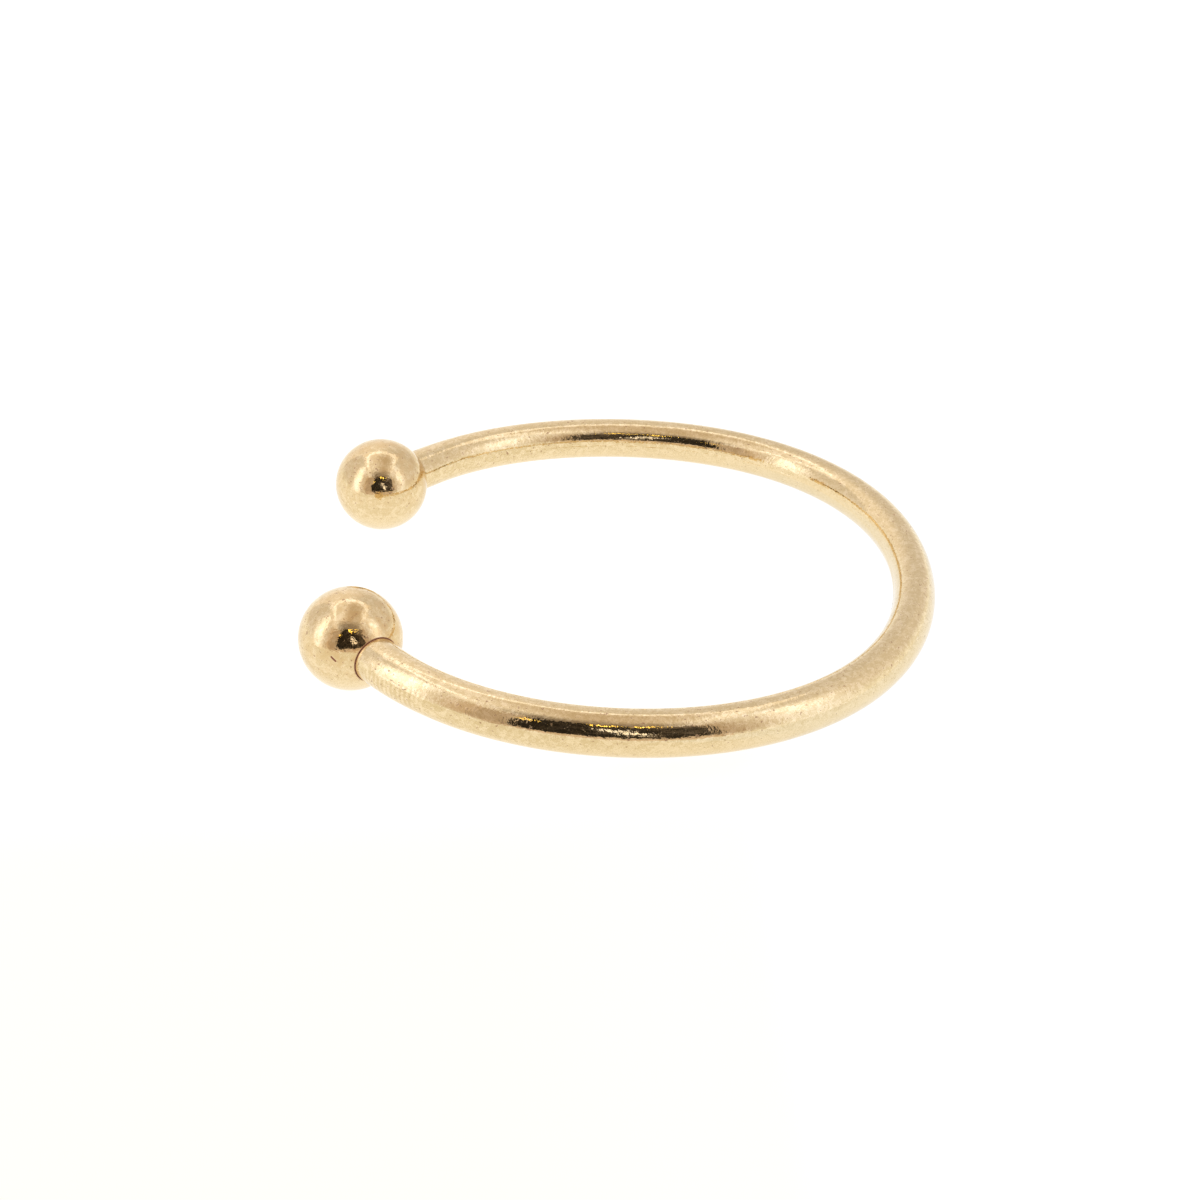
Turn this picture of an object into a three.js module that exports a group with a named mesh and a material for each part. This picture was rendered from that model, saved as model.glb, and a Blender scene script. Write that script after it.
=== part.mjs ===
// A torc bangle: an open hoop of round gold tube with a hollow ball on each end.
//
// Units are millimetres and +Z is up. The bangle lies on its side on z = 0, as it does on a
// table, with its mouth towards -X. The origin is under the middle of its bounding box.
// "Front" is the arm on the -Y side and "back" the arm on the +Y side.

import * as THREE from "three";

// ---- Driving dimensions ---------------------------------------------------------------

const HOOP_RADIUS = 30.25; // mean radius of the tube's centreline
const TUBE_DIAMETER = 4.5;
const TUBE_WALL = 0.5;
const BALL_DIAMETER = 10;
const BALL_WALL = 0.5;
const JOINT_GAP = 0.15; // round the tube where it enters a ball
const TUBE_INSERT = 2; // length of tube hidden inside a ball, past the joint

// Wear has pulled the hoop a little out of round. Each lobe lifts the centreline by
// height * cos(count * (angle - BULGE_ANGLE)), so they all peak on the same shoulder.
const BULGE_ANGLE = degrees(44);
const LOBES = [
  { count: 2, height: 0.7 },
  { count: 3, height: 0.17 },
  { count: 4, height: 0.26 },
];

// An arm bends up to bendEnd, measured at the hoop's centre from +X, and then runs straight
// for `straight` millimetres to the centre of its ball.
const ARMS = {
  front: { bendEnd: degrees(-141.6), straight: 3.8 },
  back: { bendEnd: degrees(136), straight: 7.3 },
};

// Fineness of the faceted surfaces.
const TUBE_SIDES = 24;
const BORE_SIDES = 16;
const HOOP_STATIONS = 80;
const BALL_SEGMENTS = 36;
const BALL_RINGS = 14;

const tubeRadius = TUBE_DIAMETER / 2;
const ballRadius = BALL_DIAMETER / 2;
const socketRadius = tubeRadius + JOINT_GAP;

const gold = new THREE.MeshStandardMaterial({
  name: "gold",
  color: 0xd9b27c,
  metalness: 1,
  roughness: 0.15,
});

function degrees(angle) {
  return (angle * Math.PI) / 180;
}

// ---- The hoop's centreline ------------------------------------------------------------

function centrelineRadius(angle) {
  return LOBES.reduce(
    (radius, lobe) => radius + lobe.height * Math.cos(lobe.count * (angle - BULGE_ANGLE)),
    HOOP_RADIUS,
  );
}

class Bend extends THREE.Curve {
  constructor(startAngle, endAngle) {
    super();
    this.startAngle = startAngle;
    this.endAngle = endAngle;
  }

  getPoint(t, target = new THREE.Vector3()) {
    const angle = THREE.MathUtils.lerp(this.startAngle, this.endAngle, t);
    const radius = centrelineRadius(angle);
    return target.set(radius * Math.cos(angle), radius * Math.sin(angle), 0);
  }
}

// Where an arm's straight end starts, which way it points, and where its ball sits.
function armEnd(start, direction, straight) {
  const toJoint = Math.sqrt(ballRadius ** 2 - tubeRadius ** 2);
  return {
    start,
    direction,
    ballCentre: start.clone().addScaledVector(direction, straight),
    tubeEnd: start.clone().addScaledVector(direction, straight - toJoint + TUBE_INSERT),
  };
}

const bend = new Bend(ARMS.front.bendEnd, ARMS.back.bendEnd);
const frontEnd = armEnd(bend.getPoint(0), bend.getTangent(0).negate(), ARMS.front.straight);
const backEnd = armEnd(bend.getPoint(1), bend.getTangent(1), ARMS.back.straight);

// ---- Pieces ---------------------------------------------------------------------------

function regularPolygon(radius, sides) {
  return Array.from({ length: sides }, (_, i) => {
    const angle = (i * 2 * Math.PI) / sides;
    return new THREE.Vector2(radius * Math.cos(angle), radius * Math.sin(angle));
  });
}

// The hoop is one length of tube. Both its ends are open, inside the balls.
function makeHoop() {
  const section = new THREE.Shape(regularPolygon(tubeRadius, TUBE_SIDES));
  section.holes.push(new THREE.Path(regularPolygon(tubeRadius - TUBE_WALL, BORE_SIDES)));

  const centreline = new THREE.CurvePath();
  centreline.add(new THREE.LineCurve3(frontEnd.tubeEnd, frontEnd.start));
  centreline.add(bend);
  centreline.add(new THREE.LineCurve3(backEnd.start, backEnd.tubeEnd));

  const geometry = new THREE.ExtrudeGeometry(section, {
    steps: HOOP_STATIONS,
    bevelEnabled: false,
    extrudePath: centreline,
  });
  const hoop = new THREE.Mesh(geometry, gold);
  hoop.name = "hoop";
  return hoop;
}

// Points on a circle of the given radius, from the socket's edge round to the far pole.
function ballArc(radius) {
  const edge = Math.asin(socketRadius / radius);
  return Array.from({ length: BALL_RINGS + 1 }, (_, i) => {
    const angle = THREE.MathUtils.lerp(edge, Math.PI, i / BALL_RINGS);
    const distance = i === BALL_RINGS ? 0 : radius * Math.sin(angle);
    return new THREE.Vector2(distance, radius * Math.cos(angle));
  });
}

// A ball is a thin shell, pierced where the tube goes in.
function makeBall(name, { ballCentre, direction }) {
  const skin = ballArc(ballRadius);
  const inside = ballArc(ballRadius - BALL_WALL);
  const profile = [...skin.reverse(), ...inside];
  const ball = new THREE.Mesh(new THREE.LatheGeometry(profile, BALL_SEGMENTS), gold);
  ball.name = name;
  ball.position.copy(ballCentre);
  ball.quaternion.setFromUnitVectors(new THREE.Vector3(0, 1, 0), direction.clone().negate());
  return ball;
}

// ---- Assembly -------------------------------------------------------------------------

const bangle = new THREE.Group();
bangle.add(makeHoop(), makeBall("ball_front", frontEnd), makeBall("ball_back", backEnd));

// It rests on three points: under each ball and under the hoop opposite the mouth. The balls
// are fatter than the tube, so the mouth sits a little higher than the other side.
const hoopReach = Math.max(...bend.getSpacedPoints(HOOP_STATIONS).map((point) => point.x));
const ballReach = -(frontEnd.ballCentre.x + backEnd.ballCentre.x) / 2;
bangle.rotation.y = Math.asin((ballRadius - tubeRadius) / (hoopReach + ballReach));

// Set it down on z = 0, with the origin under its middle.
const bounds = new THREE.Box3().setFromObject(bangle, true);
const middle = bounds.getCenter(new THREE.Vector3());
bangle.position.set(-middle.x, -middle.y, -bounds.min.z);

export default new THREE.Group().add(bangle);
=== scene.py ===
"""A torc bangle: an open hoop of polished gold tube with a hollow ball on each end.

It lies on its side on a pale floor, inside a small white light tent. The tent's walls are
cards that only reflections and soft light see, so the camera looks straight through them.
"""

import math
from itertools import pairwise

import bmesh
import bpy
from bpy.props import (
    FloatProperty,
    FloatVectorProperty,
    IntProperty,
    PointerProperty,
)
from mathutils import Matrix, Quaternion, Vector, noise


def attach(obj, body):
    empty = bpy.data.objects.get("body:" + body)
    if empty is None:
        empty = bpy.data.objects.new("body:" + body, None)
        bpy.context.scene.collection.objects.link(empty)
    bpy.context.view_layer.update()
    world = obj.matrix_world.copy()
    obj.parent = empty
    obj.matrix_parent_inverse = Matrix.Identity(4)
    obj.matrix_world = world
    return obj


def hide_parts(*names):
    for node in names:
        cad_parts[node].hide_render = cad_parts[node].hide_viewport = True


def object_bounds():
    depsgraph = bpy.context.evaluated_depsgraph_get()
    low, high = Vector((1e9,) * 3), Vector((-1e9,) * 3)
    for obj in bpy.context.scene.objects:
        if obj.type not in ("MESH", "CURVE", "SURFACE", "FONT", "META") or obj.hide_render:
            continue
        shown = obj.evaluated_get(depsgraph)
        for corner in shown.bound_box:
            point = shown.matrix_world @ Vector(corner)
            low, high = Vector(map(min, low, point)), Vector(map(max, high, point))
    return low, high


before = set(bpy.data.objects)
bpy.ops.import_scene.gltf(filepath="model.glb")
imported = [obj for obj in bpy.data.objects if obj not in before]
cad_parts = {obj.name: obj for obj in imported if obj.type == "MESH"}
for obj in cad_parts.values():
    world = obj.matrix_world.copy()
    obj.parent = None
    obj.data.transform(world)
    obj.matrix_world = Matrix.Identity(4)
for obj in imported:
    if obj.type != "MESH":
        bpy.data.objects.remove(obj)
cad_low, cad_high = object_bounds()

bl_info = {
    "name": "Torc bangle",
    "version": (1, 0, 0),
    "blender": (4, 5, 0),
    "location": "3D View > Sidebar > Bangle",
    "description": "Builds a gold torc bangle with ball ends, and the tent that it is lit in",
    "category": "Object",
}

MM = 0.001
MICROMETRE = 1e-6
BODY = "root"
MATERIAL = "worn_gold"
GRAIN = "grain"  # the attribute that the fine marks follow
UP = Vector((0, 0, 1))
WHITE = (1, 1, 1)
WELD = 1e-7  # points closer than this are one point
LINE_STEPS = 720  # steps along the bend when its box is measured
SHARP_ANGLE = math.radians(40)  # edges that turn more than this look sharp

# The insides don't show, so one step there stands for so many on the outside.
BORE_COARSENESS = 6
SHELL_COARSENESS = 3

# Sockets of the Vector Math node's scale, and of the Mix node when it mixes colours.
VECTOR_SCALE = 3
MIX_FACTOR, MIX_FIRST, MIX_SECOND, MIX_RESULT = 0, 6, 7, 2


# ---- Wear of the hoop's shape ----

# Wear has pressed slight flats along the tube: where each runs round its section, from the
# hoop's outside upwards, and how deep it is. Beside a joint the tube is still round. It starts
# to change EASE_START away from the joint, and has changed fully EASE_LENGTH further on.
FLATS = [(math.radians(32), 0.066 * MM), (math.radians(168), 0.07 * MM)]
FLAT_SPREAD = math.radians(17)
EASE_START = 2.5 * MM
EASE_LENGTH = 4 * MM

# The slow unevenness of worn metal: each wave's size in millimetres, and its share of the height.
WEAR_WAVES = ((4.5, 1), (1.8, 0.35))


# ---- Wear of the gold's finish ----

# Scratches that polishing has left along the tube: their scale along it and across it.
BRUSHING = (0.1, 3.3, 3.3)

# A shift that makes a pattern of fine marks unlike the others.
ELSEWHERE = (40, 40, 40)

# How much each kind of wear dulls the gold, and how much of that the polish takes away.
DULLING = {
    "clouds": 0.15,
    "streaks": 0.35,
    "patches": 0.25,
    "creases": 0.65,
    "grit": 0.5,
    "ripples": 0.55,
}
POLISH = 0.28

# How high each kind of wear stands, or how deep it goes, in micrometres.
RELIEF = {
    "streaks": 1,
    "dents": 18,
    "small dents": 7.5,
    "scratches": 4,
    "ripples": 7,
    "nicks": 3,
}

# How thick the fine marks are on the lower half, and how much thicker on the upper half. It
# changes between these heights, in millimetres from the hoop's middle.
LOWER_WEAR = 0.45
UPPER_WEAR = 1.15
WEAR_HEIGHTS = (-1.2, 0.6)

# How much dirt there is in a pit, and how much roughness haze and dirt add.
PIT_DIRT = 0.35
HAZE_ROUGHNESS = 0.12
DIRT_ROUGHNESS = 0.25

# Where the front arm shows tool marks: as angles round the hoop, and as heights above its
# middle in millimetres. The third number is how soft the edges are.
RIPPLE_ARC = (math.radians(-137.5), math.radians(-125.5), math.radians(5))
RIPPLE_HEIGHTS = (0.1, 1.9, 0.8)

# How much the front ball and then the back ball are dulled: all over, and how much more by the
# joint. The stain is partly even and partly in blotches, and it grows with height.
BALL_STAINS = ((0.25, 0.55), (0.4, 0.4))
EVEN_STAIN = 0.3
STAIN_HEIGHTS = (-2, 4)

# What gathers round a joint: stain, grime, and the dirt in the seam itself. Each starts at the
# first distance from the joint, in millimetres, and is full at the second. GRIME and SEAM are
# how strong the last two are.
STAIN_REACH = (7.5, 1)
GRIME_REACH = (0.9, 0.2)
SEAM_REACH = (0.15, 0.06)
GRIME = 0.8
SEAM = 0.9

# The balls' stain and grime stop this far above their skin, so that the tube stays clear of them.
SKIN_REACH = (0.1, 0.05)

# Nicks and scratches, in millimetres in the frame.
MARKS = [
    {"start": (-28.12, -20.89, 5.94), "end": (-27.75, -21.03, 5.58), "width": 0.25, "dark": 1.2},
    {"start": (-26.98, -19.12, 9.00), "end": (-26.88, -19.20, 8.97), "width": 0.1, "dark": 0.6},
    {"start": (-9.45, 26.12, 5.25), "end": (-9.11, 26.25, 5.15), "width": 0.1, "dark": 0.8},
    {"start": (-8.72, 26.13, 4.36), "end": (-5.51, 27.00, 3.68), "width": 0.08, "dark": 0.3},
    {"start": (-5.51, 27.00, 3.68), "end": (-2.21, 27.65, 3.07), "width": 0.08, "dark": 0.3},
    {"start": (15.34, 24.46, 3.34), "end": (15.38, 24.42, 3.26), "width": 0.14, "dark": 1.0},
]


# ---- Stage ----

# The tent's walls and roof, in millimetres from the bangle's middle.
TENT = {"left": -150, "right": 100, "front": -160, "back": 112, "roof": 185}

# Small lamps beyond the tent's front: where each shows, across and up, and its size.
GLINTS = [
    (-78, 120, 14),
    (-88, 150, 10),
    (0, 164, 20),
    (32, 160, 13),
    (50, 172, 13),
]

# The lamps' strips on the side walls lean back by this share of their height, and this is how
# wide their soft edges are.
STRIP_LEAN = 0.16
STRIP_EDGE = 52

# The flat middle of the roof's hatch: its centre line, how far it reaches to each side of that,
# and where it ends towards the back.
HATCH = {"middle": -18, "half": 40, "end": 40}

# The floor reaches 2 metres each way, far past the view. Its light isn't quite white: painted
# shade, with painted warm light bounced from the gold, dims it in front and in the hoop's middle,
# and a cooler painted shade dims it on the right.
FLOOR_REACH = 2.0
PAINTED_FRONT_SHADE = (0.9, 0.88, 0.82)
PAINTED_MIDDLE_SHADE = (0.92, 0.9, 0.85)
PAINTED_RIGHT_SHADE = (0.92, 0.95, 1.0)


# ---- Settings --------------------------------------------------------------------------


class HoopSettings(bpy.types.PropertyGroup):
    """The bent tube."""

    radius: FloatProperty(
        name="Radius",
        description="Mean radius of the tube's centreline",
        default=30.25 * MM,
        unit="LENGTH",
        precision=5,
    )
    tube_diameter: FloatProperty(
        name="Tube diameter",
        description="Outer diameter of the tube",
        default=4.5 * MM,
        unit="LENGTH",
        precision=5,
    )
    tube_wall: FloatProperty(
        name="Tube wall",
        description="Thickness of the tube's wall",
        default=0.5 * MM,
        unit="LENGTH",
        precision=5,
    )
    tube_insert: FloatProperty(
        name="Tube insert",
        description="Length of tube hidden inside a ball, past the joint",
        default=2 * MM,
        unit="LENGTH",
        precision=5,
    )
    bulge_angle: FloatProperty(
        name="Bulge angle",
        description="Where the worn hoop stands out most, from +X",
        default=math.radians(44),
        unit="ROTATION",
    )
    lobe_heights: FloatVectorProperty(
        name="Lobe heights",
        description="How far the hoop is out of round, in two, three and four lobes",
        size=3,
        default=(0.7 * MM, 0.17 * MM, 0.26 * MM),
        unit="LENGTH",
        precision=5,
    )
    front_bend_end: FloatProperty(
        name="Front bend end",
        description="Where the front arm stops bending, from +X",
        default=math.radians(-141.6),
        unit="ROTATION",
    )
    back_bend_end: FloatProperty(
        name="Back bend end",
        description="Where the back arm stops bending, from +X",
        default=math.radians(136),
        unit="ROTATION",
    )
    front_straight: FloatProperty(
        name="Front straight",
        description="From the front arm's bend to its ball's centre",
        default=3.8 * MM,
        unit="LENGTH",
        precision=5,
    )
    back_straight: FloatProperty(
        name="Back straight",
        description="From the back arm's bend to its ball's centre",
        default=7.3 * MM,
        unit="LENGTH",
        precision=5,
    )
    sides: IntProperty(
        name="Sides", description="Faces round the tube", default=96, min=8
    )
    stations: IntProperty(
        name="Stations", description="Rings along the bend", default=540, min=16
    )


class BallSettings(bpy.types.PropertyGroup):
    """The two hollow balls."""

    diameter: FloatProperty(
        name="Diameter",
        description="Outer diameter of a ball",
        default=10 * MM,
        unit="LENGTH",
        precision=5,
    )
    wall: FloatProperty(
        name="Wall",
        description="Thickness of a ball's shell",
        default=0.5 * MM,
        unit="LENGTH",
        precision=5,
    )
    joint_gap: FloatProperty(
        name="Joint gap",
        description="Open room round the tube where it enters a ball",
        default=0.02 * MM,
        unit="LENGTH",
        precision=5,
    )
    rim_round: FloatProperty(
        name="Rim round",
        description="How much the edge of a ball's socket is rounded",
        default=0.025 * MM,
        unit="LENGTH",
        precision=5,
    )
    segments: IntProperty(
        name="Segments", description="Faces round a ball", default=160, min=16
    )
    rings: IntProperty(
        name="Rings", description="Faces from a ball's socket to its pole", default=96, min=8
    )


class GoldSettings(bpy.types.PropertyGroup):
    """The finish of the metal."""

    bright: FloatVectorProperty(
        name="Bright gold",
        description="Colour of the metal where it is polished",
        subtype="COLOR",
        default=(0.86, 0.695, 0.43),
    )
    dull: FloatVectorProperty(
        name="Dull gold",
        description="Colour of the metal where wear has dulled it",
        subtype="COLOR",
        default=(0.70, 0.54, 0.29),
    )
    aged: FloatVectorProperty(
        name="Aged gold",
        description="Colour of the metal where the balls have aged",
        subtype="COLOR",
        default=(0.70, 0.50, 0.25),
    )
    tarnish: FloatVectorProperty(
        name="Tarnish",
        description="Colour of the dirt in nicks, pits and joints",
        subtype="COLOR",
        default=(0.28, 0.08, 0.03),
    )
    roughness: FloatProperty(
        name="Roughness",
        description="Roughness of the polished metal",
        default=0.05,
        min=0,
        max=1,
        subtype="FACTOR",
    )
    mark_along: FloatProperty(
        name="Mark along",
        description="Size of the fine marks on the hoop, along the tube",
        default=0.5 * MM,
        unit="LENGTH",
        precision=5,
    )
    mark_round: FloatProperty(
        name="Mark round",
        description="Size of the fine marks on the hoop, round the tube",
        default=0.38 * MM,
        unit="LENGTH",
        precision=5,
    )
    ball_mark: FloatProperty(
        name="Ball mark",
        description="Size of the fine marks on the balls",
        default=0.45 * MM,
        unit="LENGTH",
        precision=5,
    )
    ripple_pitch: FloatProperty(
        name="Ripple pitch",
        description="Spacing of the tool marks across the front arm",
        default=0.52 * MM,
        unit="LENGTH",
        precision=5,
    )
    oval_depth: FloatProperty(
        name="Oval depth",
        description="How far bending has pressed in each side of the tube",
        default=0.095 * MM,
        unit="LENGTH",
        precision=5,
    )
    waviness: FloatProperty(
        name="Waviness",
        description="Height of the slow unevenness that wear has left",
        default=0.006 * MM,
        unit="LENGTH",
        precision=6,
    )


class StageSettings(bpy.types.PropertyGroup):
    """The floor, the tent and the camera."""

    camera_target: FloatVectorProperty(
        name="Camera target",
        description="Point that the camera looks at",
        size=3,
        default=(-2.95 * MM, -0.76 * MM, 0),
        unit="LENGTH",
        precision=5,
    )
    camera_azimuth: FloatProperty(
        name="Camera azimuth",
        description="Direction of the camera, from -Y",
        default=math.radians(-0.81),
        unit="ROTATION",
    )
    camera_elevation: FloatProperty(
        name="Camera elevation",
        description="Height of the camera above the horizon",
        default=math.radians(31.04),
        unit="ROTATION",
    )
    camera_roll: FloatProperty(
        name="Camera roll",
        description="Turn of the camera about its own line of sight",
        default=math.radians(0.42),
        unit="ROTATION",
    )
    camera_distance: FloatProperty(
        name="Camera distance",
        description="From the camera to its target",
        default=190.68 * MM,
        unit="LENGTH",
        precision=5,
    )
    lens: FloatProperty(
        name="Lens",
        description="Focal length of the camera",
        default=54.99,
        subtype="DISTANCE_CAMERA",
    )
    floor_glow: FloatProperty(
        name="Floor glow",
        description="Light that the lit floor gives off by itself",
        default=1.03,
    )
    floor_colour: FloatVectorProperty(
        name="Floor colour",
        description="Colour of the floor",
        subtype="COLOR",
        default=(0.15, 0.15, 0.15),
    )
    wall_colour: FloatVectorProperty(
        name="Tent walls",
        description="Light of the tent's plain walls",
        subtype="COLOR",
        default=(1.02, 0.97, 0.98),
    )
    lamp_colour: FloatVectorProperty(
        name="Lamp strips",
        description="Light of the strips where the lamps shine on the side walls",
        subtype="COLOR",
        default=(0.85, 0.88, 1.0),
    )
    shade_colour: FloatVectorProperty(
        name="Tent shade",
        description="Light of the tent's front round the opening",
        subtype="COLOR",
        default=(0.5, 0.41, 0.35),
    )
    glint_colour: FloatVectorProperty(
        name="Glints",
        description="Light of the small lamps that show in the dark front",
        subtype="COLOR",
        default=(6.0, 4.4, 1.0),
    )
    hatch_colour: FloatVectorProperty(
        name="Tent hatch",
        description="Light of the dim hatch in the roof",
        subtype="COLOR",
        default=(0.77, 0.66, 0.57),
    )


SETTINGS = {
    "hoop": HoopSettings,
    "ball": BallSettings,
    "gold": GoldSettings,
    "stage": StageSettings,
}


def setting(part):
    """The settings of that part of the bangle or of the stage."""
    return getattr(bpy.context.scene, "bangle_" + part)


# ---- The bangle's line -----------------------------------------------------------------


def bend_point(hoop, angle):
    """A point on the tube's centreline, in the bangle's own plane."""
    lobes = enumerate(hoop.lobe_heights, start=2)
    turn = angle - hoop.bulge_angle
    radius = hoop.radius + sum(height * math.cos(count * turn) for count, height in lobes)
    return Vector((radius * math.cos(angle), radius * math.sin(angle), 0))


def bend_direction(hoop, angle):
    """The way that the centreline runs there, from the front arm towards the back arm."""
    step = 0.0005  # radians, short beside the bend
    ahead = bend_point(hoop, angle + step)
    return (ahead - bend_point(hoop, angle - step)).normalized()


def bend_angles(hoop, steps):
    """Angles along the bend, in even steps from the front arm to the back arm."""
    span = hoop.back_bend_end - hoop.front_bend_end
    return [hoop.front_bend_end + span * i / steps for i in range(steps + 1)]


class Arm:
    """One arm's straight end: where it starts, which way it points, and where its ball sits."""

    def __init__(self, hoop, ball, start, direction, straight):
        to_joint = math.sqrt((ball.diameter / 2) ** 2 - (hoop.tube_diameter / 2) ** 2)
        self.start = start
        self.direction = direction
        self.ball_centre = start + direction * straight
        self.joint = self.ball_centre - direction * to_joint
        self.tube_end = self.joint + direction * hoop.tube_insert


def arms():
    """The front arm and the back arm."""
    hoop = setting("hoop")
    ball = setting("ball")
    front, back = hoop.front_bend_end, hoop.back_bend_end
    front_way = -bend_direction(hoop, front)
    back_way = bend_direction(hoop, back)
    return (
        Arm(hoop, ball, bend_point(hoop, front), front_way, hoop.front_straight),
        Arm(hoop, ball, bend_point(hoop, back), back_way, hoop.back_straight),
    )


def placement():
    """Sets the bangle down from its own plane into the frame.

    It rests on both balls and on the hoop opposite the mouth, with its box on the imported
    model's box.
    """
    hoop = setting("hoop")
    ball_radius = setting("ball").diameter / 2
    tube_radius = hoop.tube_diameter / 2
    line = [bend_point(hoop, angle) for angle in bend_angles(hoop, LINE_STEPS)]
    centres = [arm.ball_centre for arm in arms()]
    hoop_reach = max(point.x for point in line)
    ball_reach = -(centres[0].x + centres[1].x) / 2
    tilt = math.asin((ball_radius - tube_radius) / (hoop_reach + ball_reach))
    turn = Matrix.Rotation(tilt, 4, "Y")

    centres = [turn @ centre for centre in centres]
    line = [turn @ point for point in line]
    low_x = min(centre.x for centre in centres) - ball_radius
    low_y = min(point.y for point in line) - tube_radius
    low_z = min(centre.z for centre in centres) - ball_radius
    high_x = max(point.x for point in line) + tube_radius
    high_y = max(point.y for point in line) + tube_radius
    middle = (cad_low + cad_high) / 2
    across = middle.x - (low_x + high_x) / 2
    along = middle.y - (low_y + high_y) / 2
    return Matrix.Translation((across, along, cad_low.z - low_z)) @ turn


# ---- Shader maths ----------------------------------------------------------------------


class Value:
    """A node's output. Arithmetic on it adds Math nodes."""

    def __init__(self, bench, socket):
        self.bench = bench
        self.socket = socket

    def maths(self, operation, *operands):
        """A Math node on the operands."""
        inputs = dict(enumerate(operands))
        return self.bench.add("ShaderNodeMath", {"operation": operation}, inputs)

    def __add__(self, other):
        return self.maths("ADD", self, other)

    __radd__ = __add__

    def __sub__(self, other):
        return self.maths("SUBTRACT", self, other)

    def __rsub__(self, other):
        return self.maths("SUBTRACT", other, self)

    def __mul__(self, other):
        return self.maths("MULTIPLY", self, other)

    __rmul__ = __mul__

    def __pow__(self, other):
        return self.maths("POWER", self, other)

    def __abs__(self):
        return self.maths("ABSOLUTE", self)

    def ramp(self, low, high):
        """0 up to low and 1 from high, smooth between. Low may be the larger of the two."""
        settings = {"interpolation_type": "SMOOTHSTEP"}
        inputs = {"Value": self, "From Min": low, "From Max": high}
        return self.bench.add("ShaderNodeMapRange", settings, inputs)

    def clamped(self):
        """The value kept from 0 to 1."""
        return self.bench.add("ShaderNodeClamp", {}, {"Value": self})

    def past(self, edge):
        """How far the value is past that edge, or 0 before it."""
        beyond = self - edge
        return beyond.maths("MAXIMUM", beyond, 0)

    def window(self, low, high, soft):
        """1 between low and high, with edges that are soft over that distance."""
        rise = self.ramp(low - soft / 2, low + soft / 2)
        return rise * self.ramp(high + soft / 2, high - soft / 2)


class Bench:
    """A new material, and the nodes that are added to it."""

    def __init__(self, name):
        self.material = bpy.data.materials.new(name)
        self.material.use_nodes = True
        self.tree = self.material.node_tree
        self.tree.nodes.clear()

    def add(self, kind, settings, inputs, output=0):
        """Adds a node, sets it up, feeds its sockets, and returns one of its outputs."""
        node = self.tree.nodes.new(kind)
        for name, value in settings.items():
            setattr(node, name, value)
        for key, value in inputs.items():
            if isinstance(value, Value):
                self.tree.links.new(value.socket, node.inputs[key])
            else:
                node.inputs[key].default_value = value
        return Value(self, node.outputs[output]) if len(node.outputs) else None

    def vector(self, operation, first, second=(0, 0, 0), scale=1.0, output="Vector"):
        """Vector maths on two vectors, or on one vector and a scale."""
        inputs = {0: first, 1: second, VECTOR_SCALE: scale}
        return self.add("ShaderNodeVectorMath", {"operation": operation}, inputs, output)

    def position(self):
        """The place on the object, in millimetres."""
        here = self.add("ShaderNodeTexCoord", {}, {}, "Object")
        return self.vector("SCALE", here, scale=1 / MM)

    def axes(self, vector):
        """The X, Y and Z of a vector."""
        return [self.add("ShaderNodeSeparateXYZ", {}, {"Vector": vector}, i) for i in range(3)]

    def noise(self, position, size, detail=2.0, roughness=0.5, distortion=0.0):
        """Clouds of about that size in millimetres, with values round 0.5."""
        inputs = {
            "Vector": position,
            "Scale": 1 / size,
            "Detail": detail,
            "Roughness": roughness,
            "Distortion": distortion,
        }
        return self.add("ShaderNodeTexNoise", {}, inputs)

    def mix(self, factor, first, second):
        """Blends from the first colour at 0 to the second at 1."""
        inputs = {MIX_FACTOR: factor, MIX_FIRST: opaque(first), MIX_SECOND: opaque(second)}
        return self.add("ShaderNodeMix", {"data_type": "RGBA"}, inputs, MIX_RESULT)

    def finish(self, shader):
        """Gives the material that shader as its surface."""
        self.add("ShaderNodeOutputMaterial", {}, {"Surface": shader})
        return self.material


def opaque(colour):
    """A colour as a socket takes it, or a link as it is."""
    return colour if isinstance(colour, Value) else (*colour, 1)


# ---- Gold ------------------------------------------------------------------------------


def near_line(bench, here, start, end, width):
    """1 on the line between two points, fading out over its width."""
    run = Vector(end) - Vector(start)
    offset = bench.vector("SUBTRACT", here, start)
    share = bench.vector("DOT_PRODUCT", offset, run / run.length_squared, output="Value")
    foot = bench.vector("SCALE", run, scale=share.clamped())
    distance = bench.vector("DISTANCE", offset, foot, output="Value")
    return distance.ramp(width / 2, width / 5)


def nick_lines(bench, here):
    """How dark the nicks and scratches are."""
    nicks = 0
    for mark in MARKS:
        line = near_line(bench, here, mark["start"], mark["end"], mark["width"])
        nicks = line * mark["dark"] + nicks
    return nicks


def joint_distance(bench, here, joint, axis, radius):
    """How far each point is from the circle where the tube enters a ball."""
    offset = bench.vector("SUBTRACT", here, joint)
    along = bench.vector("DOT_PRODUCT", offset, axis, output="Value")
    across = bench.vector("SUBTRACT", offset, bench.vector("SCALE", axis, scale=along))
    beside = bench.vector("LENGTH", across, output="Value") - radius
    return (beside * beside + along * along) ** 0.5


def ball_stains(bench, here):
    """How dulled the balls are, and how dark the seam at each joint is."""
    settle = placement()
    tube_radius = setting("hoop").tube_diameter / 2 / MM
    ball_radius = setting("ball").diameter / 2 / MM
    stains = 0
    seams = 0
    for arm, (stain, joint_stain) in zip(arms(), BALL_STAINS, strict=True):
        joint = settle @ arm.joint / MM
        axis = settle.to_3x3() @ arm.direction
        distance = joint_distance(bench, here, joint, axis, tube_radius)
        centre = settle @ arm.ball_centre / MM
        above_skin = bench.vector("DISTANCE", here, centre, output="Value") - ball_radius
        dulled = distance.ramp(*STAIN_REACH) * joint_stain + stain
        dulled = distance.ramp(*GRIME_REACH) * GRIME + dulled
        stains = above_skin.ramp(*SKIN_REACH) * dulled + stains
        seams = distance.ramp(*SEAM_REACH) * SEAM + seams
    return stains, seams


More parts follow.
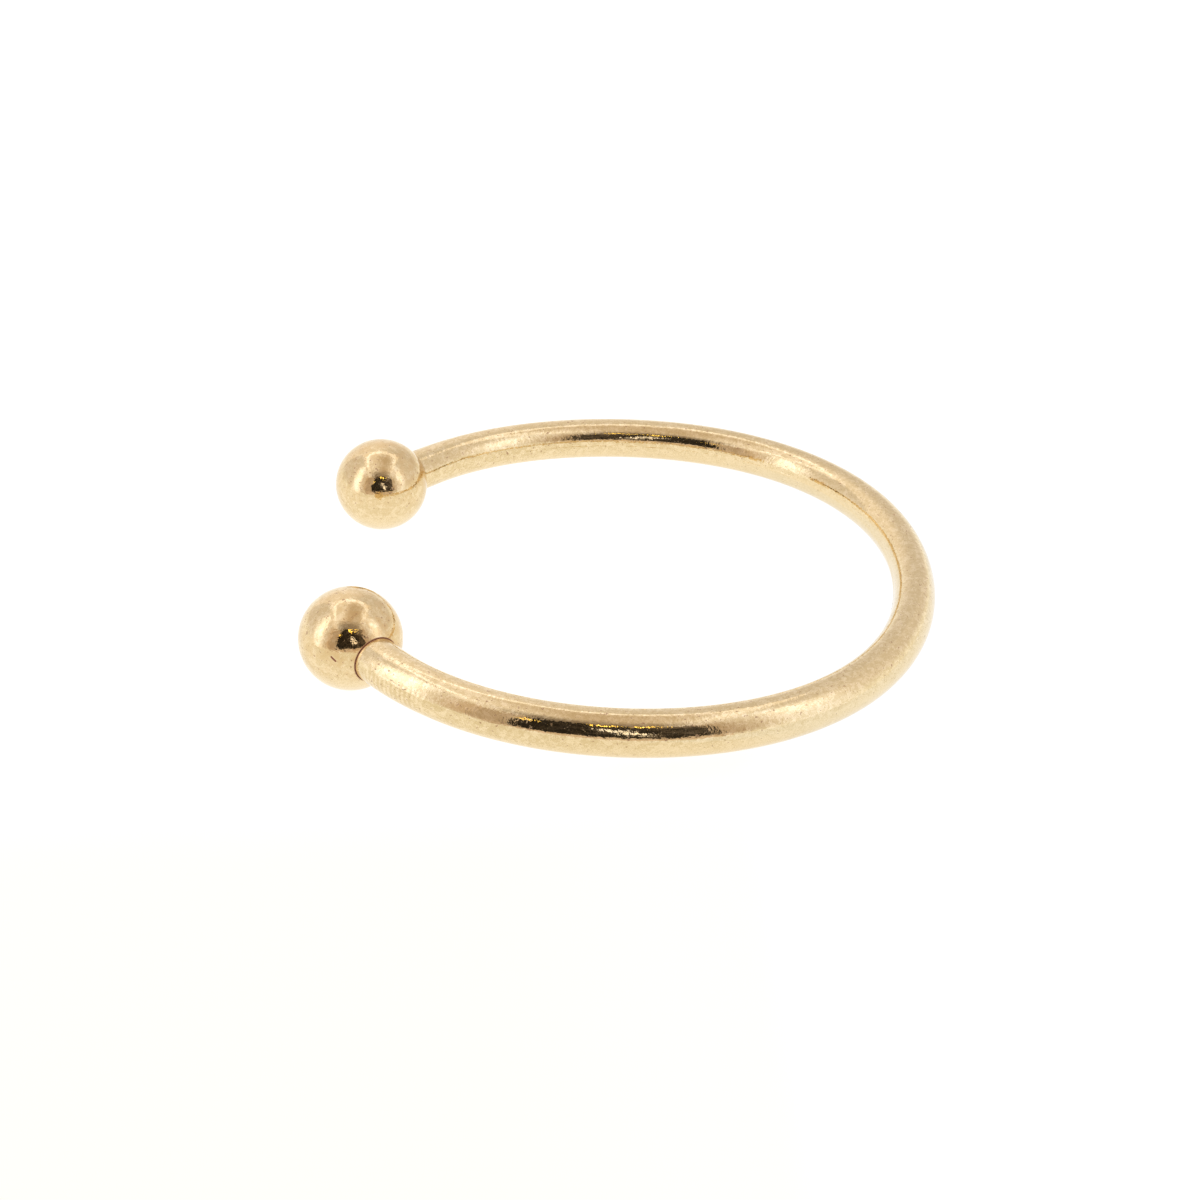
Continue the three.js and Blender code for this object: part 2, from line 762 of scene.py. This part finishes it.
def tool_marks(x, y, z):
    """The ripples across the front arm, from -1 to 1, for places from the hoop's centre."""
    angle = y.maths("ARCTAN2", y, x)
    phase = angle * (setting("hoop").radius * math.tau / setting("gold").ripple_pitch)
    ripple = phase.maths("SINE", phase)
    return ripple * (angle.window(*RIPPLE_ARC) * z.window(*RIPPLE_HEIGHTS))


def make_gold():
    """Polished gold that has been worn: mottled, finely scratched and dark in its joints."""
    gold = setting("gold")
    bench = Bench(MATERIAL)
    here = bench.position()
    x, y, z = bench.axes(bench.vector("SUBTRACT", here, placement().translation / MM))
    grain = bench.add("ShaderNodeAttribute", {"attribute_name": GRAIN}, {}, "Vector")
    elsewhere = bench.vector("ADD", grain, ELSEWHERE)
    brushed = bench.vector("MULTIPLY", grain, BRUSHING)

    clouds = bench.noise(here, 2.2, detail=3, roughness=0.6).ramp(0.35, 0.65)
    blotches = bench.noise(here, 1.0, detail=3, roughness=0.6).ramp(0.42, 0.6)
    grit = bench.noise(here, 0.1, detail=0).ramp(0.3, 0.7)
    dents = bench.noise(here, 0.6, detail=3)
    small_dents = bench.noise(here, 0.25, detail=1)
    streaks = bench.noise(grain, 1.0, detail=2, roughness=0.6).ramp(0.38, 0.62)
    haze = bench.noise(grain, 1.6, detail=4, roughness=0.7, distortion=0.4).ramp(0.5, 0.72)
    leather = bench.noise(elsewhere, 1.8, detail=3, roughness=0.65)
    patches = leather.ramp(0.47, 0.53)
    creases = abs(leather - 0.5).ramp(0.03, 0)
    pits = bench.noise(elsewhere, 0.7, detail=1).ramp(0.66, 0.76)
    scratches = bench.noise(brushed, 1.0, detail=1)
    nicks = nick_lines(bench, here)
    ripples = tool_marks(x, y, z)
    stains, seams = ball_stains(bench, here)

    worn = LOWER_WEAR + UPPER_WEAR * z.ramp(*WEAR_HEIGHTS)
    mottle = (
        streaks * DULLING["streaks"] + patches * DULLING["patches"] + creases * DULLING["creases"]
    )
    dulled = (
        clouds * DULLING["clouds"]
        + mottle * worn
        + grit * DULLING["grit"]
        + ripples * DULLING["ripples"]
        - POLISH
    )
    dirt = (nicks + seams + pits * worn * PIT_DIRT).clamped()
    metal = bench.mix(dulled, gold.bright, gold.dull)
    aged = stains * (EVEN_STAIN + blotches) * z.ramp(*STAIN_HEIGHTS)
    metal = bench.mix(aged, metal, gold.aged)
    height = (
        streaks * RELIEF["streaks"]
        + dents * RELIEF["dents"]
        + small_dents * RELIEF["small dents"]
        + scratches * RELIEF["scratches"]
        + ripples * RELIEF["ripples"]
        - nicks * RELIEF["nicks"]
    )
    bumps = {"Height": height, "Distance": MICROMETRE, "Strength": 1.0}
    inputs = {
        "Base Color": bench.mix(dirt, metal, gold.tarnish),
        "Metallic": 1 - dirt,
        "Roughness": gold.roughness + HAZE_ROUGHNESS * haze + DIRT_ROUGHNESS * dirt,
        "Normal": bench.add("ShaderNodeBump", {}, bumps),
    }
    return bench.finish(bench.add("ShaderNodeBsdfPrincipled", {}, inputs))


def gold_material():
    """The gold, made when the first piece asks for it."""
    return bpy.data.materials.get(MATERIAL) or make_gold()


# ---- Meshes ----------------------------------------------------------------------------


def only(geometry, kind):
    """What an operator gave back, of one kind."""
    return [part for part in geometry if isinstance(part, kind)]


def new_object(name, bm, material):
    """Makes the finished mesh an object of the scene."""
    mesh = bpy.data.meshes.new(name)
    bm.to_mesh(mesh)
    bm.free()
    mesh.materials.append(material)
    made = bpy.data.objects.new(name, mesh)
    bpy.context.scene.collection.objects.link(made)
    return made


def wear(bm, height):
    """Leaves the slow unevenness of wear in a surface."""
    bm.normal_update()
    for vert in bm.verts:
        place = vert.co / MM
        wave = sum(share * noise.noise(place / size) for size, share in WEAR_WAVES)
        vert.co += vert.normal * (height * wave)


def finish_piece(bm, name, node, grain):
    """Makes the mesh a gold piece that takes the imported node's place.

    grain turns a place on the piece into one counted in the lengths of the fine marks there.
    """
    bmesh.ops.recalc_face_normals(bm, faces=bm.faces)
    layer = bm.verts.layers.float_vector.new(GRAIN)
    for vert in bm.verts:
        vert[layer] = grain(vert.co)
    wear(bm, setting("gold").waviness)
    bmesh.ops.transform(bm, matrix=placement(), verts=bm.verts)
    piece = new_object(name, bm, gold_material())
    piece.data.shade_smooth()
    piece.data.set_sharp_from_angle(angle=SHARP_ANGLE)
    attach(piece, BODY)
    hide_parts(node)


# ---- Hoop ------------------------------------------------------------------------------


def sweep_ring(bm, radius, sides, stations):
    """Carries a circle from station to station. Returns its first and its last edge loop."""
    ring = bmesh.ops.create_circle(bm, segments=sides, radius=radius, matrix=stations[0])
    loop = list({edge for vert in ring["verts"] for edge in vert.link_edges})
    first = loop
    for before, after in pairwise(stations):
        grown = bmesh.ops.extrude_edge_only(bm, edges=loop)["geom"]
        verts = only(grown, bmesh.types.BMVert)
        loop = [edge for edge in only(grown, bmesh.types.BMEdge) if edge.is_boundary]
        bmesh.ops.transform(bm, matrix=after @ before.inverted(), verts=verts)
    return first, loop


def tube_stations(bend_steps):
    """Places along the centreline from end to end, each with its Z along the tube."""
    hoop = setting("hoop")
    front, back = arms()
    bend = [
        (bend_point(hoop, angle), bend_direction(hoop, angle))
        for angle in bend_angles(hoop, bend_steps)
    ]
    step = (hoop.back_bend_end - hoop.front_bend_end) * hoop.radius / bend_steps

    def straight(arm):
        length = (arm.tube_end - arm.start).length
        count = math.ceil(length / step)
        return [arm.start + arm.direction * (length * i / count) for i in range(1, count + 1)]

    before = [(point, -front.direction) for point in reversed(straight(front))]
    after = [(point, back.direction) for point in straight(back)]
    stations = []
    for point, direction in before + bend + after:
        turn = Matrix((UP, direction.cross(UP), direction)).transposed()
        stations.append(Matrix.Translation(point) @ turn.to_4x4())
    return stations


def outside_line(point):
    """How far a point is outside the tube's centreline, in the bangle's own plane."""
    angle = math.atan2(point.y, point.x)
    return point.xy.length - bend_point(setting("hoop"), angle).length


def press_tube(bm):
    """Leaves the tube as bending and wear have: a little oval, with flats along it."""
    depth = setting("gold").oval_depth
    joints = [arm.joint for arm in arms()]
    for vert in bm.verts:
        outside = outside_line(vert.co)
        turn = math.atan2(vert.co.z, outside)
        press = depth * math.cos(turn) ** 2
        for flat, flat_depth in FLATS:
            press += flat_depth * math.exp(-(((turn - flat) / FLAT_SPREAD) ** 2) / 2)
        from_joint = min((vert.co - joint).length for joint in joints)
        share = min(max((from_joint - EASE_START) / EASE_LENGTH, 0), 1)
        away = Vector((*(vert.co.xy.normalized() * outside), vert.co.z)).normalized()
        vert.co -= away * (press * share)


def hoop_grain(point):
    """A place on the hoop: along the tube, outwards and up."""
    gold = setting("gold")
    along = math.atan2(point.y, point.x) * setting("hoop").radius
    outside = outside_line(point)
    return Vector((along / gold.mark_along, outside / gold.mark_round, point.z / gold.mark_round))


def make_hoop():
    """The tube, swept along its centreline, with a bore that is open at both ends."""
    hoop = setting("hoop")
    radius = hoop.tube_diameter / 2
    bm = bmesh.new()
    skin = sweep_ring(bm, radius, hoop.sides, tube_stations(hoop.stations))
    bore_stations = tube_stations(hoop.stations // BORE_COARSENESS)
    bore = sweep_ring(bm, radius - hoop.tube_wall, hoop.sides, bore_stations)
    for skin_end, bore_end in zip(skin, bore, strict=True):
        bmesh.ops.bridge_loops(bm, edges=skin_end + bore_end)
    press_tube(bm)
    finish_piece(bm, "hoop_tube", "hoop", hoop_grain)


# ---- Balls -----------------------------------------------------------------------------


def spin_arc(bm, radius, edge_radius, steps):
    """Turns a point on the far pole up to where a shell of that radius meets the socket."""
    pole = bm.verts.new((0, 0, -radius))
    sweep = math.pi - math.asin(edge_radius / radius)
    spun = bmesh.ops.spin(
        bm, geom=[pole], cent=(0, 0, 0), axis=(0, -1, 0), angle=sweep, steps=steps
    )
    return only(spun["geom_last"], bmesh.types.BMVert)[0]


def round_lip(bm, socket, inner, rounding):
    """Rounds the edge where a ball's skin meets its socket."""
    at_socket = {vert for vert in bm.verts if vert.co.z > 0 and vert.co.xy.length < socket + WELD}
    lip = [
        edge
        for edge in bm.edges
        if at_socket.issuperset(edge.verts)
        and edge.verts[0].co.length > inner + WELD
        and abs(edge.verts[0].co.z - edge.verts[1].co.z) < WELD
    ]
    bmesh.ops.bevel(
        bm,
        geom=lip,
        offset=rounding,
        offset_type="OFFSET",
        affect="EDGES",
        segments=3,
        profile=0.5,
        material=-1,
    )


def ball_grain(point):
    """A place on a ball, where the fine marks have no direction."""
    return point / setting("gold").ball_mark


def make_ball(name, node, arm):
    """A thin shell, turned about its own axis, with a round socket for the tube."""
    ball = setting("ball")
    outer = ball.diameter / 2
    inner = outer - ball.wall
    socket = setting("hoop").tube_diameter / 2 + ball.joint_gap
    bm = bmesh.new()
    rim = [
        spin_arc(bm, outer, socket, ball.rings),
        spin_arc(bm, inner, socket, ball.rings // SHELL_COARSENESS),
    ]
    bmesh.ops.contextual_create(bm, geom=rim)
    bmesh.ops.spin(
        bm,
        geom=bm.verts[:] + bm.edges[:],
        cent=(0, 0, 0),
        axis=UP,
        angle=math.tau,
        steps=ball.segments,
        use_merge=True,
    )
    bmesh.ops.remove_doubles(bm, verts=bm.verts, dist=WELD)
    round_lip(bm, socket, inner, ball.rim_round)
    turn = (-arm.direction).to_track_quat("Z", "Y").to_matrix().to_4x4()
    place = Matrix.Translation(arm.ball_centre) @ turn
    bmesh.ops.transform(bm, matrix=place, verts=bm.verts)
    finish_piece(bm, name, node, ball_grain)


# ---- Tent ------------------------------------------------------------------------------
#
# Each painter works out the light of one wall at a place. The ends of its ramps and windows
# are places in millimetres, and its shares are of the stage's own colours.


def scaled(colour, share):
    """That share of a colour's light."""
    return tuple(part * share for part in colour)


def meet_floor(bench, z, wall, height):
    """A wall's light, brightening to the floor's own where the cloth sweeps down to it."""
    floor_glow = setting("stage").floor_glow
    wall = bench.mix(z.ramp(0, height), scaled(WHITE, floor_glow * 1.1), wall)
    return bench.mix(z.ramp(10, 3), wall, scaled(WHITE, floor_glow * 1.12))


def paint_side(front_light, lamp_light, strip):
    """A side wall: a lamp shines on a strip of it, and it is dimmer towards the front."""

    def paint(bench, x, y, z):
        stage = setting("stage")
        wall = stage.wall_colour
        plain = bench.mix(y.ramp(-30, 40), wall, scaled(wall, 0.9))
        plain = bench.mix(y.ramp(-85, -150), plain, scaled(stage.shade_colour, front_light))
        lamp = (y - z * STRIP_LEAN).window(*strip, STRIP_EDGE)
        hot = scaled(stage.lamp_colour, lamp_light)
        hot = bench.mix(z.window(45, 135, 60), scaled(hot, 0.8), hot)
        return bench.mix(lamp, meet_floor(bench, z, plain, height=35), hot)

    return paint


def glints(bench, here):
    """Small lamps beyond the front."""
    spots = 0
    for x, z, size in GLINTS:
        distance = bench.vector("DISTANCE", here, (x, TENT["front"], z), output="Value")
        spots = distance.ramp(size / 2, size / 3) + spots
    return spots


def paint_front(bench, x, y, z):
    """The front: a lit sill, and above it the dark opening that the camera looks through."""
    stage = setting("stage")
    shade = stage.shade_colour
    here = bench.position()

    # It is dark beyond the opening, with dim shapes that thicken towards the right.
    murk = bench.noise(here, 20, detail=3).ramp(0.46, 0.62) * x.ramp(-110, 30)
    murk = murk + x.ramp(-10, 90) * 0.2
    inside = bench.mix(murk, scaled(shade, 0.05), scaled(shade, 0.28))
    high_right = z.ramp(115, 165) * x.ramp(10, 60)
    inside = bench.mix(high_right, inside, scaled(shade, 0.5))

    # A bright slanting screen stands there, partly hidden, among small lamps.
    screen = (x + z * 0.5).window(40, 57, 6) * z.window(52, 100, 8)
    screen = screen * bench.noise(here, 7).ramp(0.4, 0.5)
    inside = bench.mix(screen, inside, scaled(stage.wall_colour, 2.2))
    inside = bench.mix(glints(bench, here), inside, stage.glint_colour)

    # The opening's lower part stands further left than its upper part.
    opening = (x + z.ramp(115, 85) * 14).window(-78, 108, 12)
    front = bench.mix(opening, scaled(shade, 1.25), inside)
    sill = bench.mix(x.ramp(-60, -110), scaled(shade, 1.7), scaled(shade, 1.45))
    return bench.mix(z.ramp(25, 30), meet_floor(bench, z, sill, height=14), front)


def paint_back(bench, x, y, z):
    """The back: plain cloth, dimmer towards the right."""
    wall = setting("stage").wall_colour
    side = bench.mix(x.ramp(-50, 40), scaled(wall, 1.12), scaled(wall, 0.84))
    return meet_floor(bench, z, side, height=45)


def paint_roof(bench, x, y, z):
    """The roof: a soft dim hatch inside a bright rim, darkening towards the front."""
    stage = setting("stage")
    wall = stage.wall_colour
    shade = stage.shade_colour
    beside = abs(x - HATCH["middle"]).past(HATCH["half"])
    behind = y.past(HATCH["end"])
    reach = (beside * beside + behind * behind) ** 0.5
    plain = bench.mix(y.ramp(30, 100), scaled(wall, 1.1), scaled(wall, 1.26))
    roof = bench.mix(x.ramp(-70, 0) * reach.ramp(62, 0), plain, stage.hatch_colour)
    rim = reach.window(47, 67, 20) * y.ramp(-110, -40) * (1 - 0.5 * x.ramp(-60, 30))
    roof = bench.mix(rim, roof, scaled(stage.lamp_colour, 1.95))
    dark = y.ramp(-60, -140) * x.window(-92, 78, 70)
    gloom = bench.mix(x.ramp(-60, 40), scaled(shade, 0.65), scaled(shade, 0.8))
    return bench.mix(dark, roof, gloom)


def glowing(name, paint):
    """A material that gives off the light that paint works out from each place."""
    bench = Bench(name)
    x, y, z = bench.axes(bench.position())
    return bench.finish(bench.add("ShaderNodeEmission", {}, {"Color": paint(bench, x, y, z)}))


def add_card(name, centre, facing, size, paint):
    """A flat card that reflections see and the camera doesn't."""
    bm = bmesh.new()
    bmesh.ops.create_grid(bm, x_segments=1, y_segments=1, size=0.5)
    bmesh.ops.scale(bm, vec=(size[0] * MM, size[1] * MM, 1), verts=bm.verts)
    turn = Vector(facing).to_track_quat("Z", "Y").to_matrix().to_4x4()
    place = Matrix.Translation(Vector(centre) * MM) @ turn
    bmesh.ops.transform(bm, matrix=place, verts=bm.verts)
    card = new_object(name, bm, glowing(name, paint))
    card.visible_camera = False


def make_tent():
    """Puts up the tent's four walls and its roof."""
    left, right, front, back, top = (
        TENT[side] for side in ("left", "right", "front", "back", "roof")
    )
    x, y, z = (left + right) / 2, (front + back) / 2, top / 2
    width, depth = right - left, back - front
    paint_left = paint_side(front_light=1.6, lamp_light=2.3, strip=(-90, -38))
    paint_right = paint_side(front_light=1.3, lamp_light=1.9, strip=(-85, -40))
    add_card("tent_left", (left, y, z), (1, 0, 0), (depth, top), paint_left)
    add_card("tent_right", (right, y, z), (-1, 0, 0), (depth, top), paint_right)
    add_card("tent_front", (x, front, z), (0, 1, 0), (width, top), paint_front)
    add_card("tent_back", (x, back, z), (0, -1, 0), (width, top), paint_back)
    add_card("tent_roof", (x, y, top), (0, 0, -1), (width, depth), paint_roof)


# ---- Floor, camera and sky -------------------------------------------------------------


def make_floor():
    """Lays a pale floor that gives off some light of its own, as a lit one does."""
    stage = setting("stage")
    bench = Bench("floor")
    x, y, _ = bench.axes(bench.position())
    # Painted shade on the floor's own light: warm in front and in the hoop's middle, cool on the
    # right.
    light = bench.mix(y.ramp(-20, -45), WHITE, PAINTED_FRONT_SHADE)
    light = bench.mix(x.ramp(-14, 4) * 0.6, light, PAINTED_MIDDLE_SHADE)
    light = bench.mix(x.ramp(8, 20), light, PAINTED_RIGHT_SHADE)
    inputs = {
        "Base Color": opaque(stage.floor_colour),
        "Roughness": 1.0,
        "Specular IOR Level": 0.0,
        "Emission Color": light,
        "Emission Strength": stage.floor_glow,
    }
    material = bench.finish(bench.add("ShaderNodeBsdfPrincipled", {}, inputs))
    bm = bmesh.new()
    bmesh.ops.create_grid(bm, x_segments=1, y_segments=1, size=FLOOR_REACH)
    bmesh.ops.translate(bm, vec=(0, 0, cad_low.z), verts=bm.verts)
    new_object("floor", bm, material)


def make_camera():
    """Sets the camera on its target."""
    stage = setting("stage")
    azimuth = stage.camera_azimuth
    elevation = stage.camera_elevation
    flat = math.cos(elevation)
    back = Vector((math.sin(azimuth) * flat, -math.cos(azimuth) * flat, math.sin(elevation)))
    data = bpy.data.cameras.new("camera")
    data.lens = stage.lens
    data.sensor_width = 36
    data.clip_start = 10 * MM
    camera = bpy.data.objects.new("camera", data)
    camera.location = Vector(stage.camera_target) + back * stage.camera_distance
    camera.rotation_mode = "QUATERNION"
    roll = Quaternion((0, 0, 1), stage.camera_roll)
    camera.rotation_quaternion = (-back).to_track_quat("-Z", "Y") @ roll
    bpy.context.scene.collection.objects.link(camera)
    bpy.context.scene.camera = camera


def make_sky():
    """Puts plain white light round everything."""
    world = bpy.data.worlds.new("white")
    world.use_nodes = True
    world.node_tree.nodes["Background"].inputs["Color"].default_value = opaque(WHITE)
    bpy.context.scene.world = world
    bpy.context.scene.view_settings.view_transform = "Standard"


# ---- Operators and panel ---------------------------------------------------------------


class BuildStage(bpy.types.Operator):
    """Lay the floor, put up the tent and set the camera"""

    bl_idname = "bangle.build_stage"
    bl_label = "Stage"

    def execute(self, context):
        make_floor()
        make_tent()
        make_sky()
        make_camera()
        return {"FINISHED"}


class BuildHoop(bpy.types.Operator):
    """Bend the tube into the hoop"""

    bl_idname = "bangle.build_hoop"
    bl_label = "Hoop"

    def execute(self, context):
        make_hoop()
        return {"FINISHED"}


class BuildBalls(bpy.types.Operator):
    """Turn the two hollow balls and fit them over the tube's ends"""

    bl_idname = "bangle.build_balls"
    bl_label = "Balls"

    def execute(self, context):
        front, back = arms()
        make_ball("front_ball", "ball_front", front)
        make_ball("back_ball", "ball_back", back)
        return {"FINISHED"}


OPERATORS = (BuildStage, BuildHoop, BuildBalls)


class BanglePanel(bpy.types.Panel):
    """Settings and build steps of the bangle"""

    bl_idname = "VIEW3D_PT_bangle"
    bl_label = "Torc bangle"
    bl_space_type = "VIEW_3D"
    bl_region_type = "UI"
    bl_category = "Bangle"

    def draw(self, context):
        for part in SETTINGS:
            box = self.layout.box()
            box.label(text=part.capitalize())
            group = setting(part)
            for name in group.__annotations__:
                box.prop(group, name)
        for operator in OPERATORS:
            self.layout.operator(operator.bl_idname)


CLASSES = (*SETTINGS.values(), *OPERATORS, BanglePanel)


def register():
    """Makes the classes known to Blender, and gives the scene its settings."""
    for cls in CLASSES:
        bpy.utils.register_class(cls)
    for part, group in SETTINGS.items():
        setattr(bpy.types.Scene, "bangle_" + part, PointerProperty(type=group))


def unregister():
    """Takes back what register did."""
    for part in SETTINGS:
        delattr(bpy.types.Scene, "bangle_" + part)
    for cls in reversed(CLASSES):
        bpy.utils.unregister_class(cls)


def main():
    """Builds the stage and the bangle."""
    register()
    bpy.ops.bangle.build_stage()
    bpy.ops.bangle.build_hoop()
    bpy.ops.bangle.build_balls()


if __name__ == "__main__":
    main()
